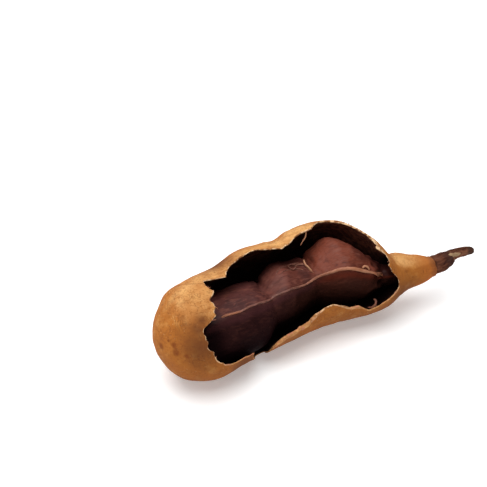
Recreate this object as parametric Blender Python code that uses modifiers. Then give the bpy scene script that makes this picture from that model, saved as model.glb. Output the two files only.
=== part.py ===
"""Tamarind pod, cracked open.

A brittle three-lobed shell lies on its curved underside with a large jagged window
broken out of its upper front.  The sticky lobed pulp lies inside on the shell's
floor, tough strings run over it, and the woody stalk plugs the neck.

Frame: X runs along the pod with the stalk at +X, -Y is the broken-open side, +Z is
up, and the origin is under the middle of the pod's box, on the surface it lies on.
Places round the pod or the pulp are given in degrees: 0 faces +Y, 90 faces up,
180 faces -Y and 270 faces down.
"""
import math

import bmesh
import bpy
import numpy as np
from mathutils import Matrix, Vector

MM = 0.001
OBJECT_NAME = "tamarind_pod"

# ---------------------------------------------------------------- dimensions
SHELL_WALL = 1.0 * MM
TOUCH_GAP = 0.3 * MM          # clearance between pieces that touch
BOX_MIDDLE = Vector((5.3, 2.4, 0.0))    # of the stations below (mm): the origin

# The shell's outer form: along X, half-width, half-height, sideways, height (mm)
SHELL_STATIONS = [
    (-43.6, 0.0, 0.0, -4.5, 13.0),      # blunt far tip
    (-40.5, 7.8, 7.2, -4.5, 13.0),
    (-36.0, 12.2, 11.2, -2.9, 13.0),
    (-29.0, 14.3, 13.2, -2.3, 13.0),    # first lobe
    (-21.0, 14.2, 13.0, 0.0, 13.0),
    (-13.0, 15.1, 13.8, 2.9, 13.0),     # second lobe
    (-5.0, 14.5, 13.3, 4.0, 13.0),
    (3.0, 14.7, 13.5, 6.0, 13.0),
    (11.0, 14.9, 13.7, 6.4, 13.0),      # third lobe
    (18.0, 14.0, 12.9, 4.9, 13.0),
    (24.0, 10.6, 9.8, 2.5, 12.6),
    (27.5, 6.6, 6.1, -0.1, 11.9),       # pulls in to the neck
    (31.0, 5.7, 5.2, 0.2, 11.5),
    (36.0, 4.5, 4.1, -0.7, 11.4),
    (39.0, 3.4, 3.2, -1.1, 11.4),
    (40.0, 2.7, 2.6, -1.1, 11.4),
    (40.3, 0.0, 0.0, -1.1, 11.4),       # neck end, bored for the stalk
]
NECK_START = 26.0
NECK_DENSITY = 2.5            # the grid is this much finer along the neck

# The broken edge of the window: along X (mm), degrees round
WINDOW_EDGE = [
    (-27.3, 76), (-26.6, 98), (-28.4, 105), (-27.9, 116), (-29.0, 124), (-30.8, 130),
    (-32.7, 135), (-32.5, 146), (-32.5, 159), (-31.2, 170), (-29.1, 182),
    (-25.3, 190), (-22.2, 192), (-19.2, 195), (-18.2, 222), (-15.2, 224),
    (-14.2, 203), (-12.5, 194), (-8.5, 190), (-4.8, 186), (-1.2, 182), (1.0, 176),
    (3.2, 173), (6.0, 173), (8.8, 180), (11.5, 186), (14.1, 188), (17.3, 200),
    (20.3, 195), (22.9, 188), (25.1, 176), (25.8, 150), (24.6, 142), (23.6, 135),
    (23.9, 120), (22.4, 106), (21.8, 86), (20.4, 66), (17.5, 58), (14.8, 54),
    (11.8, 56), (7.8, 75), (5.0, 74), (1.0, 81), (-2.7, 87), (-9.7, 73),
    (-13.4, 75), (-17.9, 75), (-21.3, 87),
]
WINDOW_MIDDLE = (6.0, 136)    # along X (mm), degrees round
EDGE_STEP = math.radians(4)   # between the grid lines that leave the window's edge
BACK_STEPS = 19               # grid rings from that edge round to the back

# The pulp's form, three swellings with creases between: same columns (mm)
PULP_STATIONS = [
    (-37.5, 0.0, 0.0, -4.6, 10.0),
    (-35.5, 5.2, 4.7, -4.0, 9.9),
    (-31.0, 8.8, 7.9, -3.0, 10.1),
    (-25.0, 10.3, 8.8, -1.7, 10.4),     # first swelling
    (-18.5, 10.3, 8.7, -0.5, 10.7),
    (-13.6, 9.7, 8.4, 0.4, 10.6),
    (-11.2, 8.7, 7.8, 1.3, 10.3),
    (-9.0, 7.9, 7.3, 2.7, 10.2),        # crease
    (-4.0, 9.0, 8.2, 4.6, 11.2),        # second swelling
    (1.0, 8.0, 7.2, 5.8, 11.2),
    (4.0, 7.4, 6.9, 6.5, 11.2),
    (6.0, 7.2, 6.8, 6.8, 11.2),         # crease
    (8.5, 8.4, 8.0, 6.9, 11.6),
    (13.5, 10.0, 9.7, 6.4, 12.3),       # third swelling
    (19.0, 8.2, 7.9, 4.6, 12.2),
    (24.0, 4.6, 4.5, 2.0, 11.8),
    (28.5, 2.6, 2.6, 0.0, 11.4),
    (33.0, 1.5, 1.5, -0.4, 11.3),
    (34.0, 0.0, 0.0, -0.4, 11.3),
]
PULP_ROUND = 36
PULP_ALONG = 42

# Strings: along X (mm), degrees round the pulp, lift off the pulp (mm)
STRING_RADIUS = 0.45 * MM
RIDGE_STRING = [
    (-30.5, 116, 0.1), (-25.3, 115, 0.1), (-20.2, 119, 0.1), (-15.9, 118, 0.2),
    (-11.7, 120, 0.5), (-8.1, 126, 0.5), (-4.1, 132, 0.2), (-0.9, 135, 0.2),
    (2.9, 136, 0.3), (6.1, 134, 0.5), (10.6, 136, 0.2), (15.1, 139, 0.2),
    (19.5, 143, 0.2), (24.3, 147, 0.2), (28.5, 140, 0.2),
]
BACK_STRING = [
    (-5.5, 92, 0.1), (-3.6, 86, 0.1), (-1.5, 83, 0.1), (0.7, 80, 0.2), (2.5, 86, 0.2),
    (3.6, 94, 0.2), (4.0, 104, 0.2), (4.4, 114, 0.2), (5.2, 122, 0.2),
]
SIDE_STRING = [
    (-4.2, 98, 0.1), (-2.0, 95, 0.1), (0.0, 96, 0.1), (1.8, 100, 0.1), (2.8, 107, 0.1),
]

# The stalk: along X, sideways, height, radius (mm)
STALK_POINTS = [
    (36.0, -1.1, 11.4, 1.3), (40.7, -1.1, 11.4, 1.3), (40.8, -1.1, 11.4, 2.8),
    (42.4, -1.1, 11.4, 2.7), (44.6, -0.4, 11.7, 2.4), (46.6, 0.3, 11.9, 1.9),
    (48.2, 0.6, 12.0, 1.45), (50.0, 0.8, 12.0, 1.3), (52.0, 0.6, 12.0, 1.25),
    (53.2, 0.2, 12.0, 1.1), (53.9, -0.1, 12.0, 0.7),
]
NECK_BORE_RADIUS = 1.7 * MM
NECK_BORE_DEPTH = 4.0 * MM


# ---------------------------------------------------------------- smooth forms
def smooth_rows(rows, places):
    """Rows read off a Catmull-Rom curve through the given rows at fractional row
    numbers.  Past each end the curve goes on as its own mirror image, its two
    half-sizes negative, so a body that closes to a point there closes round."""
    mirror = np.array([1.0, -1.0, -1.0, 1.0, 1.0])
    padded = np.vstack([rows[1] * mirror, rows, rows[-2] * mirror])
    start = np.clip(np.floor(places).astype(int), 0, len(rows) - 2)
    t = (places - start)[:, None]
    a, b, c, d = (padded[start + step] for step in range(4))
    return 0.5 * (2 * b + (c - a) * t + (2 * a - 5 * b + 4 * c - d) * t ** 2
                  + (3 * b - a - 3 * c + d) * t ** 3)


class LongForm:
    """A long body of elliptical sections whose middles wander along X.

    A place on it is a share of the way along its outline, 0 at the -X tip and 1 at
    the +X tip, and degrees round it."""

    def __init__(self, stations, dense_from=math.inf, density=1.0):
        self.rows = np.array(stations)
        self.places = np.linspace(0, len(stations) - 1, 2001)
        fine = smooth_rows(self.rows, self.places)
        steps = np.hypot(np.diff(fine[:, 0]), np.diff(fine[:, 1]))
        steps[fine[1:, 0] > dense_from] *= density
        self.shares = np.concatenate([[0.0], np.cumsum(steps)]) / steps.sum()
        self.along = fine[:, 0]

    def share_at(self, x):
        return float(np.interp(x, self.along, self.shares))

    def point(self, share, degrees):
        place = np.interp([share], self.shares, self.places)
        x, half_width, half_height, y, z = smooth_rows(self.rows, place)[0]
        turn = math.radians(degrees)
        low = z + half_height * math.sin(turn)
        spot = Vector((x, y + half_width * math.cos(turn), max(low, 0.0)))
        return (spot - BOX_MIDDLE) * MM

    def lifted(self, x, degrees, lift):
        """The point at x, moved off the surface by lift (mm) along its normal."""
        share, small = self.share_at(x), 0.004
        ahead = self.point(share + small, degrees) - self.point(share - small, degrees)
        across = self.point(share, degrees + 1) - self.point(share, degrees - 1)
        return self.point(share, degrees) + across.cross(ahead).normalized() * lift * MM

    def toward(self, direction):
        """The point that a direction of the unit sphere stands for."""
        share = math.acos(max(-1.0, min(1.0, -direction.x))) / math.pi
        return self.point(share, math.degrees(math.atan2(direction.z, direction.y)))

    def direction(self, x, degrees):
        """The unit direction that stands for the place at x and degrees round."""
        tilt, turn = self.share_at(x) * math.pi, math.radians(degrees)
        return Vector((-math.cos(tilt), math.sin(tilt) * math.cos(turn),
                       math.sin(tilt) * math.sin(turn)))


# ---------------------------------------------------------------- scene helpers
def clear_scene():
    for item in list(bpy.data.objects):
        bpy.data.objects.remove(item, do_unlink=True)


def new_collection(name):
    collection = bpy.data.collections.new(name)
    bpy.context.scene.collection.children.link(collection)
    return collection


def new_material(name, colour, roughness):
    material = bpy.data.materials.new(name)
    material.use_nodes = True
    shader = material.node_tree.nodes["Principled BSDF"]
    shader.inputs["Base Color"].default_value = (*colour, 1.0)
    shader.inputs["Roughness"].default_value = roughness
    shader.inputs["Metallic"].default_value = 0.0
    return material


def add_mesh(name, shape, collection, material=None):
    """A bmesh as a smooth-shaded object in a collection."""
    shape.normal_update()
    bmesh.ops.recalc_face_normals(shape, faces=shape.faces[:])
    mesh = bpy.data.meshes.new(name)
    shape.to_mesh(mesh)
    shape.free()
    mesh.shade_smooth()
    if material:
        mesh.materials.append(material)
    item = bpy.data.objects.new(name, mesh)
    collection.objects.link(item)
    return item


def add_tube(name, points, radii, collection, material):
    """A round tube with closed ends, its radius given at each point, as a mesh."""
    curve = bpy.data.curves.new(name, "CURVE")
    curve.dimensions = "3D"
    curve.bevel_depth = 1.0
    curve.bevel_resolution = 2
    curve.use_fill_caps = True
    spline = curve.splines.new("POLY")
    spline.points.add(len(points) - 1)
    for spot, point, radius in zip(spline.points, points, radii):
        spot.co = (*point, 1.0)
        spot.radius = radius
    rod = bpy.data.objects.new(name + "_path", curve)
    collection.objects.link(rod)
    settled = rod.evaluated_get(bpy.context.evaluated_depsgraph_get())
    shape = bmesh.new()
    shape.from_mesh(bpy.data.meshes.new_from_object(settled))
    bmesh.ops.remove_doubles(shape, verts=shape.verts[:], dist=0.01 * MM)
    bpy.data.objects.remove(rod, do_unlink=True)
    return add_mesh(name, shape, collection, material)


def even_points(knots, step):
    """Points about one step apart on the smooth curve through the knots, whose
    first three columns are a place and whose other columns ride along."""
    rows = np.array(knots)
    padded = np.vstack([2 * rows[0] - rows[1], rows, 2 * rows[-1] - rows[-2]])
    found = []
    for a, b, c, d in zip(padded, padded[1:], padded[2:], padded[3:]):
        count = max(1, round(float(np.linalg.norm((c - b)[:3])) / step))
        for t in np.arange(count) / count:
            found.append(0.5 * (2 * b + (c - a) * t + (2 * a - 5 * b + 4 * c - d) * t ** 2
                                + (3 * b - a - 3 * c + d) * t ** 3))
    return found + [rows[-1]]


# ---------------------------------------------------------------- shell
def window_edge_table(form, middle):
    """The window's edge as seen from its middle on the unit sphere: the turn of
    each edge point round the middle and its angle from it, in rising turn."""
    ahead = Vector((1, 0, 0)).cross(middle).cross(-middle).normalized()
    side = middle.cross(ahead)
    table = []
    for x, degrees in WINDOW_EDGE:
        way = form.direction(x, degrees)
        turn = math.atan2(way.dot(side), way.dot(ahead)) % math.tau
        table.append((turn, middle.angle(way)))
    table.sort()
    table.append((table[0][0] + math.tau, table[0][1]))
    return np.array(table), ahead, side


def make_shell(collection, cutters, material):
    """An open sheet from the window's edge round the back of the pod, given its
    wall by Solidify and bored at the neck.

    The sheet starts as a sphere with a hole at its pole.  The pole looks out of the
    window's middle, the hole's rim becomes the window's edge with a vertex on every
    corner, and each vertex moves to the place on the pod that its direction stands
    for.  The edge's teeth fade out of the rings behind it with the cube of the way."""
    form = LongForm(SHELL_STATIONS, NECK_START, NECK_DENSITY)
    middle = form.direction(*WINDOW_MIDDLE)
    edge, ahead, side = window_edge_table(form, middle)
    turns, angles = edge.T
    steps = np.maximum(1, np.round(np.diff(turns) / EDGE_STEP))
    corners = np.concatenate([[0], np.cumsum(steps)]) / steps.sum()
    mean_angle = float(np.mean(angles))

    rings = BACK_STEPS + 2
    sheet = bmesh.new()
    bmesh.ops.create_uvsphere(sheet, u_segments=int(steps.sum()), v_segments=rings,
                              radius=1.0)
    pole = max(sheet.verts, key=lambda vert: vert.co.z)
    bmesh.ops.delete(sheet, geom=[pole], context="VERTS")
    rim_angle = math.pi / rings
    for vert in sheet.verts:
        spot = vert.co.normalized()
        share = (math.atan2(spot.y, spot.x) / math.tau) % 1.0
        turn = np.interp(share, corners, turns)
        tooth = np.interp(turn, turns, angles) - mean_angle
        back = (math.acos(max(-1.0, min(1.0, spot.z))) - rim_angle) / (math.pi - rim_angle)
        angle = mean_angle + (math.pi - mean_angle) * back + tooth * (1.0 - back) ** 3
        flat = ahead * math.cos(turn) + side * math.sin(turn)
        vert.co = form.toward(middle * math.cos(angle) + flat * math.sin(angle))
    shell = add_mesh("shell", sheet, collection, material)
    wall = shell.modifiers.new("wall", "SOLIDIFY")
    wall.thickness = SHELL_WALL
    wall.offset = -1.0

    bore = bmesh.new()
    bmesh.ops.create_cone(bore, cap_ends=True, segments=24, radius1=NECK_BORE_RADIUS,
                          radius2=NECK_BORE_RADIUS, depth=NECK_BORE_DEPTH)
    x, _, _, y, z = SHELL_STATIONS[-1]
    bore.transform(Matrix.Translation((Vector((x, y, z)) - BOX_MIDDLE) * MM)
                   @ Matrix.Rotation(math.pi / 2, 4, "Y"))
    cutter = add_mesh("neck_bore", bore, cutters)
    cutter.hide_render = True
    cutter.display_type = "WIRE"
    hole = shell.modifiers.new("neck_bore", "BOOLEAN")
    hole.operation = "DIFFERENCE"
    hole.solver = "EXACT"
    hole.object = cutter
    return shell


# ---------------------------------------------------------------- pulp and strings
def make_pulp(collection, material):
    """A sphere laid along X whose vertices move to the pulp's form."""
    form = LongForm(PULP_STATIONS)
    body = bmesh.new()
    bmesh.ops.create_uvsphere(body, u_segments=PULP_ROUND, v_segments=PULP_ALONG, radius=1.0)
    for vert in body.verts:
        spot = vert.co.normalized()
        vert.co = form.toward(Vector((spot.z, spot.x, spot.y)))
    return add_mesh("pulp", body, collection, material)


def make_string(name, route, collection, material):
    """A thin tube that follows a route over the pulp, just clear of it."""
    form = LongForm(PULP_STATIONS)
    clear = (STRING_RADIUS + TOUCH_GAP) / MM
    knots = [form.lifted(x, degrees, clear + lift) for x, degrees, lift in route]
    points = even_points(knots, 2.0 * MM)
    ends = np.minimum(np.arange(len(points)), np.arange(len(points))[::-1])
    radii = STRING_RADIUS * np.minimum(1.0, 0.6 + 0.2 * ends)
    return add_tube(name, points, radii, collection, material)


# ---------------------------------------------------------------- stalk
def make_stalk(collection, material):
    """The stalk: a peg in the neck's bore, a collar, a kink and a thin twig."""
    knots = np.array(STALK_POINTS)
    knots[:, :3] -= BOX_MIDDLE
    peg = [knots[0] * MM]
    twig = even_points(knots[1:] * MM, 1.2 * MM)
    points = np.array(peg + twig)
    return add_tube("stalk", points[:, :3], points[:, 3], collection, material)


def main():
    clear_scene()
    parts = new_collection(OBJECT_NAME)
    cutters = new_collection(OBJECT_NAME + "_cutters")
    bark = new_material("scurfy_shell", (0.55, 0.33, 0.15), 0.85)
    flesh = new_material("sticky_pulp", (0.07, 0.022, 0.016), 0.35)
    fibre = new_material("tough_string", (0.16, 0.06, 0.035), 0.5)
    wood = new_material("stalk_wood", (0.07, 0.035, 0.02), 0.8)
    make_shell(parts, cutters, bark)
    make_pulp(parts, flesh)
    make_string("ridge_string", RIDGE_STRING, parts, fibre)
    make_string("back_string", BACK_STRING, parts, fibre)
    make_string("side_string", SIDE_STRING, parts, fibre)
    make_stalk(parts, wood)


main()
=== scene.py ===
# %% [markdown]
# # A tamarind pod, cracked open
#
# A ripe tamarind pod is a brittle, sandy shell round a string of sticky seed lobes.
# Somebody has broken the upper front of this shell away, so the wet dark pulp and the
# tough strings that lie over it show inside a ragged window.  At the right the shell
# pulls in to a neck that still carries its twisted stalk.
#
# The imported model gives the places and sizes.  This script builds every visible
# surface again, fine enough for scurf, wrinkles, torn edges and fibres, and paints it.

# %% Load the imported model
import itertools

import bpy
import numpy as np
from mathutils import Matrix, Vector


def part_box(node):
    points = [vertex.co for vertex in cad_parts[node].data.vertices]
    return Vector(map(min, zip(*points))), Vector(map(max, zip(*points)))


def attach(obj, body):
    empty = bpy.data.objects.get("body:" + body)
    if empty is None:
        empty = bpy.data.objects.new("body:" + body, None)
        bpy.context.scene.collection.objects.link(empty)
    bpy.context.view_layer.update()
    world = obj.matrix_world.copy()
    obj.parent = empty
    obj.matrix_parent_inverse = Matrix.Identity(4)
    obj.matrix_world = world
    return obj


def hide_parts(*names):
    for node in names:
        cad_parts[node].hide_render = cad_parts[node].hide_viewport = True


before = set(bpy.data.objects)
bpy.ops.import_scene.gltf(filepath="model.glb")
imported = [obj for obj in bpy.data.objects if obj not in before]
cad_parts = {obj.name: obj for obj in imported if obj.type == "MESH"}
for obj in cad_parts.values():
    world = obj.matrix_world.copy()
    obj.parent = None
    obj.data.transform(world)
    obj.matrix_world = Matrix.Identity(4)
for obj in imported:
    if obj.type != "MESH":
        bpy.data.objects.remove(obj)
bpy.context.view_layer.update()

MM = 0.001                      # shapes are worked out in millimetres
print("nodes:", sorted(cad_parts))

# %% [markdown]
# ## One form for everything long
#
# A pod could be sculpted, or lofted from drawn sections.  Here it is a table instead:
# at a few stations along X it says how wide and how high the pod is and where the
# middle of its section sits.  A smooth curve through the rows gives any section in
# between.  Places on the form are a share of the way along and a turn round it
# (0 degrees faces +Y, 90 faces up, 180 faces -Y), so the same two numbers find a place
# on the shell, in the hollow of the shell, or on the pulp.

# %% The smooth form
def curve_through(padded, places):
    """Rows at fractional row numbers, on a Catmull-Rom curve through the rows.

    Formula: each value is a cubic of the two rows on either side, so the curve passes
    through every row.  The first and last of the padded rows only steer its ends."""
    start = np.clip(np.floor(places).astype(int), 0, len(padded) - 4)
    t = (places - start)[..., None]
    a, b, c, d = (padded[start + step] for step in range(4))
    return 0.5 * (2 * b + (c - a) * t + (2 * a - 5 * b + 4 * c - d) * t ** 2
                  + (3 * b - a - 3 * c + d) * t ** 3)


def smooth_rows(rows, places):
    """Rows of a form's table.  Past an end the curve goes on as its own mirror image
    with the two half-sizes negative, which rounds off a body that closes there."""
    mirror = np.array([1.0, -1.0, -1.0, 1.0, 1.0])
    return curve_through(np.vstack([rows[1] * mirror, rows, rows[-2] * mirror]), places)


def unit(vectors):
    """Each vector divided by its own length."""
    return vectors / np.maximum(np.linalg.norm(vectors, axis=-1, keepdims=True), 1e-12)


class LongForm:
    """A long body of elliptical sections whose middles wander along X."""

    def __init__(self, stations, dense_from=np.inf, density=1.0, lowest=0.0):
        """The share counts steps along the form's outline, and steps past dense_from
        count density times, which gives the thin neck more than its share."""
        self.rows = np.array(stations)
        self.lowest = lowest
        self.shift = np.zeros(3)
        self.places = np.linspace(0, len(stations) - 1, 2001)
        fine = smooth_rows(self.rows, self.places)
        steps = np.hypot(np.diff(fine[:, 0]), np.diff(fine[:, 1]))
        steps[fine[1:, 0] > dense_from] *= density
        self.shares = np.concatenate([[0.0], np.cumsum(steps)]) / steps.sum()
        self.along = fine[:, 0]

    def share_at(self, x):
        return np.interp(x, self.along, self.shares)

    def x_at(self, share):
        return np.interp(share, self.shares, self.along)

    def point(self, share, turn):
        """Formula: the section's middle, plus half-width times the cosine of the turn
        along Y and half-height times its sine along Z, cut off flat at the lowest."""
        row = smooth_rows(self.rows, np.interp(share, self.shares, self.places))
        x, half_width, half_height, y, z = np.moveaxis(row, -1, 0)
        spot = [x + 0.0 * turn, y + half_width * np.cos(turn),
                np.maximum(z + half_height * np.sin(turn), self.lowest)]
        return np.stack(spot, -1) - self.shift

    def normal(self, share, turn):
        """Formula: the cross product of a short step round and a short step along."""
        small = 0.003
        along = self.point(share + small, turn) - self.point(share - small, turn)
        round_ = self.point(share, turn + small) - self.point(share, turn - small)
        return unit(np.cross(round_, along))


# %% [markdown]
# ## The three lobes and where they go
#
# The shell swells round each seed.  Its table is written in its own millimetres, and
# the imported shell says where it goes: the end of the form's neck is put where the packed
# shell ends, and sideways the middles of their boxes are brought together.

# %% The shell's table
SHELL_STATIONS = [              # along X, half-width, half-height, sideways, height
    (-43.0, 0.0, 0.0, -4.2, 13.5), (-42.1, 4.8, 4.4, -4.2, 13.5),
    (-39.7, 8.9, 8.3, -3.9, 13.2),
    (-35.6, 12.5, 11.7, -2.9, 13.1), (-29.0, 14.3, 13.2, -2.3, 13.0),
    (-21.0, 14.2, 13.0, 0.0, 13.0), (-13.0, 15.1, 13.8, 2.9, 13.0),
    (-5.5, 14.4, 13.3, 3.9, 12.95), (-1.5, 14.1, 12.95, 4.65, 12.75),
    (3.0, 14.6, 13.4, 5.9, 13.0),
    (11.0, 14.9, 13.7, 6.4, 13.0), (18.0, 14.2, 13.1, 5.0, 13.0),
    (24.0, 10.7, 10.1, 2.2, 12.3), (27.5, 6.7, 6.2, -0.3, 11.8),
    (31.0, 5.6, 5.1, 0.2, 11.5), (36.0, 4.2, 3.9, -0.6, 11.5),
    (39.0, 3.0, 2.85, -1.0, 11.5), (40.1, 2.6, 2.5, -1.1, 11.5),
    (40.3, 0.0, 0.0, -1.1, 11.5),
]
NECK_START, NECK_DENSITY = 26.0, 2.5
WALL = 1.0                      # the shell's thickness

shell_form = LongForm(SHELL_STATIONS, NECK_START, NECK_DENSITY)
rough_grid = shell_form.point(np.linspace(0, 1, 400)[:, None], np.radians(np.arange(360)))
form_middle = (rough_grid.min((0, 1)) + rough_grid.max((0, 1))) / 2
low, high = (np.array(corner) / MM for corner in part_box("shell"))
SHIFT = np.array([rough_grid[..., 0].max() - high[0], (form_middle - (low + high) / 2)[1], 0.0])
shell_form.shift = SHIFT
print("the tables are moved by, mm:", np.round(-SHIFT, 2).tolist())

# %% [markdown]
# ## Uneven like something grown
#
# Nothing on a pod is even.  Blender has noise textures, but here the mesh itself is
# shaped, so the noise is worked out with numpy: every corner of a cubic lattice gets a
# fixed random number, and a point between the corners blends the eight round it.

# %% Noise in three dimensions
def lattice_numbers(cells, seed):
    """A fixed number from -1 to 1 for each whole-number cell.

    Formula: the three cell numbers times large odd numbers, and the seed, are mixed by
    exclusive-or and shifts, and the last sixteen bits become the number."""
    mixed = (cells[..., 0] * 73856093) ^ (cells[..., 1] * 19349663)
    mixed = mixed ^ (cells[..., 2] * 83492791) ^ np.int64(seed * 26544357)
    mixed = (mixed ^ (mixed >> 13)) * 1274126177
    mixed = mixed ^ (mixed >> 16)
    return (mixed & 0xFFFF) / 32767.5 - 1.0


def soft_noise(spots, size, seed, layers=2):
    """Smooth noise, about -1 to 1, with features of the given size in millimetres.

    Formula: eight corner numbers weighted by 3t^2 - 2t^3 of the place in the cell, and
    again at half the size and half the strength for each further layer, turned so
    that the lattices don't line up."""
    spin = np.array([[0.36, 0.48, -0.80], [-0.80, 0.60, 0.00], [0.48, 0.64, 0.60]])
    total, strength, reach = 0.0, 1.0, 0.0
    scaled = spots / size
    for layer in range(layers):
        cell = np.floor(scaled).astype(np.int64)
        t = scaled - cell
        t = t * t * (3 - 2 * t)
        for corner in itertools.product((0, 1), repeat=3):
            weight = np.prod(np.where(corner, t, 1 - t), axis=-1)
            total = total + strength * weight * lattice_numbers(cell + corner, seed + layer)
        reach += strength
        strength *= 0.5
        scaled = (scaled @ spin) * 2.0 + 7.7
    return 1.4 * total / reach


def ease(low, high, values):
    """0 below low, 1 above high, and 3t^2 - 2t^3 in between."""
    t = np.clip((values - low) / (high - low), 0.0, 1.0)
    return t * t * (3 - 2 * t)


probe = soft_noise(np.random.default_rng(1).uniform(-30, 30, (4000, 3)), 3.0, 5)
print("noise runs from %.2f to %.2f" % (probe.min(), probe.max()))

# %% [markdown]
# ## From a grid of points to a closed body
#
# Every piece is a grid: rows along the body, columns round it, and one point at each
# tip.  Closing the tips makes each piece a watertight body, as the real piece is.  The
# signed volume of the mesh tells whether its faces point outwards, and if they don't
# the faces are turned over.

# %% Grid to mesh
def body_faces(count, across, first):
    """Faces of one closed grid whose points start at number first.

    Formula: point j of row i joins point j + 1 and the same two of row i + 1 in a
    four-sided face, and each tip joins the pairs of points of its end row."""
    here = np.arange(across)
    after = (here + 1) % across
    base = (np.arange(count - 1) * across)[:, None]
    quads = np.stack([base + here, base + after, base + across + after,
                      base + across + here], -1).reshape(-1, 4)
    last, tip = (count - 1) * across, np.full(across, count * across)
    caps = np.vstack([np.stack([after, here, tip], -1),
                      np.stack([last + here, last + after, tip + 1], -1)])
    return quads + first, caps + first


def closed_mesh(name, bodies, layers=None):
    """A mesh of one or more closed bodies, each rows of points and two tip points."""
    spots, faces, volume, count = [], [], 0.0, 0
    for rows, tips in bodies:
        quads, caps = body_faces(*rows.shape[:2], count)
        spots.append(np.vstack([rows.reshape(-1, 3), tips]))
        a, b, c, d = (spots[-1][quads[:, k] - count] for k in range(4))
        inside = (np.einsum("ij,ij->i", a, np.cross(b, c)).sum()
                  + np.einsum("ij,ij->i", a, np.cross(c, d)).sum()) / 6
        if inside < 0:
            quads, caps = quads[:, ::-1], caps[:, ::-1]
        faces += quads.tolist() + caps.tolist()
        volume += abs(inside)
        count += len(spots[-1])
    mesh = bpy.data.meshes.new(name)
    mesh.from_pydata(np.vstack(spots) * MM, [], faces)
    mesh.shade_smooth()
    for layer, values in (layers or {}).items():
        mesh.attributes.new(layer, "FLOAT", "POINT").data.foreach_set(
            "value", values.astype(np.float32))
    triangles = sum(len(face) - 2 for face in faces)
    print(f"{name}: {triangles} triangles, {volume / 1000:.2f} cm3")
    return mesh


def grid_normals(rows, outward):
    """Normals of a grid that closes round.

    Formula: the cross product of the differences along the rows and along the columns,
    turned to the side that outward, a rough direction at each point, is on."""
    down = np.gradient(rows, axis=0)
    round_ = np.roll(rows, -1, 1) - np.roll(rows, 1, 1)
    found = unit(np.cross(round_, down))
    side = np.sign(np.einsum("ijk,ijk->ij", found, outward))[..., None]
    return found * np.where(side == 0, 1, side)


def add_piece(name, mesh, material, slot, *nodes):
    """The mesh as a piece of the pod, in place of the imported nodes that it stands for."""
    mesh.materials.append(material)
    piece = bpy.data.objects.new(name, mesh)
    bpy.context.scene.collection.objects.link(piece)
    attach(piece, "root")
    if nodes:
        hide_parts(*nodes)
    return piece


# %% [markdown]
# ## Mixing a finish
#
# Blender's materials are graphs of nodes.  Long graphs are hard to read as code, so a
# small class wraps a socket and lets ordinary sums build the Math nodes: the line
# `dark = 1 - grain * 0.4` adds two nodes.  Everything else comes from one method that
# names a node, its settings and what goes into its sockets.

# %% Sockets as numbers
class Wire:
    """A socket of a material's graph that can be used in sums."""

    def __init__(self, paint, socket):
        self.paint, self.socket = paint, socket

    def _sum(self, operation, first, second):
        return self.paint.node("ShaderNodeMath", {"operation": operation},
                               {0: first, 1: second})

    def __add__(self, other):
        return self._sum("ADD", self, other)

    def __sub__(self, other):
        return self._sum("SUBTRACT", self, other)

    def __mul__(self, other):
        return self._sum("MULTIPLY", self, other)

    def __rsub__(self, other):
        return self._sum("SUBTRACT", other, self)

    __radd__, __rmul__ = __add__, __mul__


class Paint:
    """A material in the making.  Its patterns read Object coordinates in millimetres."""

    def __init__(self, name):
        self.material = bpy.data.materials.new(name)
        self.material.use_nodes = True
        self.tree = self.material.node_tree
        self.shader = self.tree.nodes["Principled BSDF"]
        spot = self.node("ShaderNodeTexCoord", {}, {}, "Object")
        self.place = self.node("ShaderNodeVectorMath", {"operation": "SCALE"},
                               {"Vector": spot, "Scale": 1 / MM}, "Vector")

    def node(self, kind, settings, sockets, output=0):
        """A new node: its settings first, then a value or a wire for each socket."""
        made = self.tree.nodes.new(kind)
        for name, value in settings.items():
            setattr(made, name, value)
        for name, value in sockets.items():
            self.feed(self.find(made.inputs, name), value)
        return Wire(self, self.find(made.outputs, output))

    def find(self, sockets, name):
        if isinstance(name, int):
            return sockets[name]
        return next(socket for socket in sockets if socket.name == name and socket.enabled)

    def feed(self, socket, value):
        if isinstance(value, Wire):
            self.tree.links.new(value.socket, socket)
        else:
            socket.default_value = value

    def noise(self, size, seed, detail=2.0, stretch=(1, 1, 1), bend=0.0):
        """Noise from 0 to 1 with features of about that size, longer along the axes of stretch.
        """
        place = self.node("ShaderNodeVectorMath", {"operation": "DIVIDE"},
                          {0: self.place, 1: [size * part for part in stretch]}, "Vector")
        return self.node("ShaderNodeTexNoise", {"noise_dimensions": "4D"},
                         {"Vector": place, "W": seed * 3.7, "Scale": 1.0, "Detail": detail,
                          "Distortion": bend})

    def cells(self, size, seed):
        """Distance from the nearest of scattered spots."""
        return self.node("ShaderNodeTexVoronoi", {"voronoi_dimensions": "4D"},
                         {"Vector": self.place, "W": seed * 0.9, "Scale": 1 / size}, "Distance")

    def range(self, value, low, high):
        """0 at low, 1 at high, eased in between; low may be above high."""
        return self.node("ShaderNodeMapRange", {"interpolation_type": "SMOOTHSTEP"},
                         {"Value": value, "From Min": low, "From Max": high})

    def blend(self, factor, first, second):
        return self.node("ShaderNodeMix", {"data_type": "RGBA"},
                         {"Factor": factor, "A": first, "B": second}, "Result")

    def coats(self, base, *coats):
        """The base colour under coats laid on in turn: how much, red, green, blue."""
        for factor, *shade in coats:
            base = self.blend(factor, base, colour(*shade))
        return base

    def layer(self, name):
        return self.node("ShaderNodeAttribute", {"attribute_name": name}, {}, "Fac")

    def part(self, axis):
        """One of the place's three coordinates."""
        return self.node("ShaderNodeSeparateXYZ", {}, {"Vector": self.place}, axis)

    def finish(self, base, roughness, height, **constants):
        """Feeds the shader.  The height is in millimetres and becomes a bump."""
        bump = self.node("ShaderNodeBump", {}, {"Distance": MM, "Height": height}, "Normal")
        for name, value in (("Base Color", base), ("Roughness", roughness),
                            ("Normal", bump), *constants.items()):
            self.feed(self.shader.inputs[name.replace("_", " ")], value)
        return self.material


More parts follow.
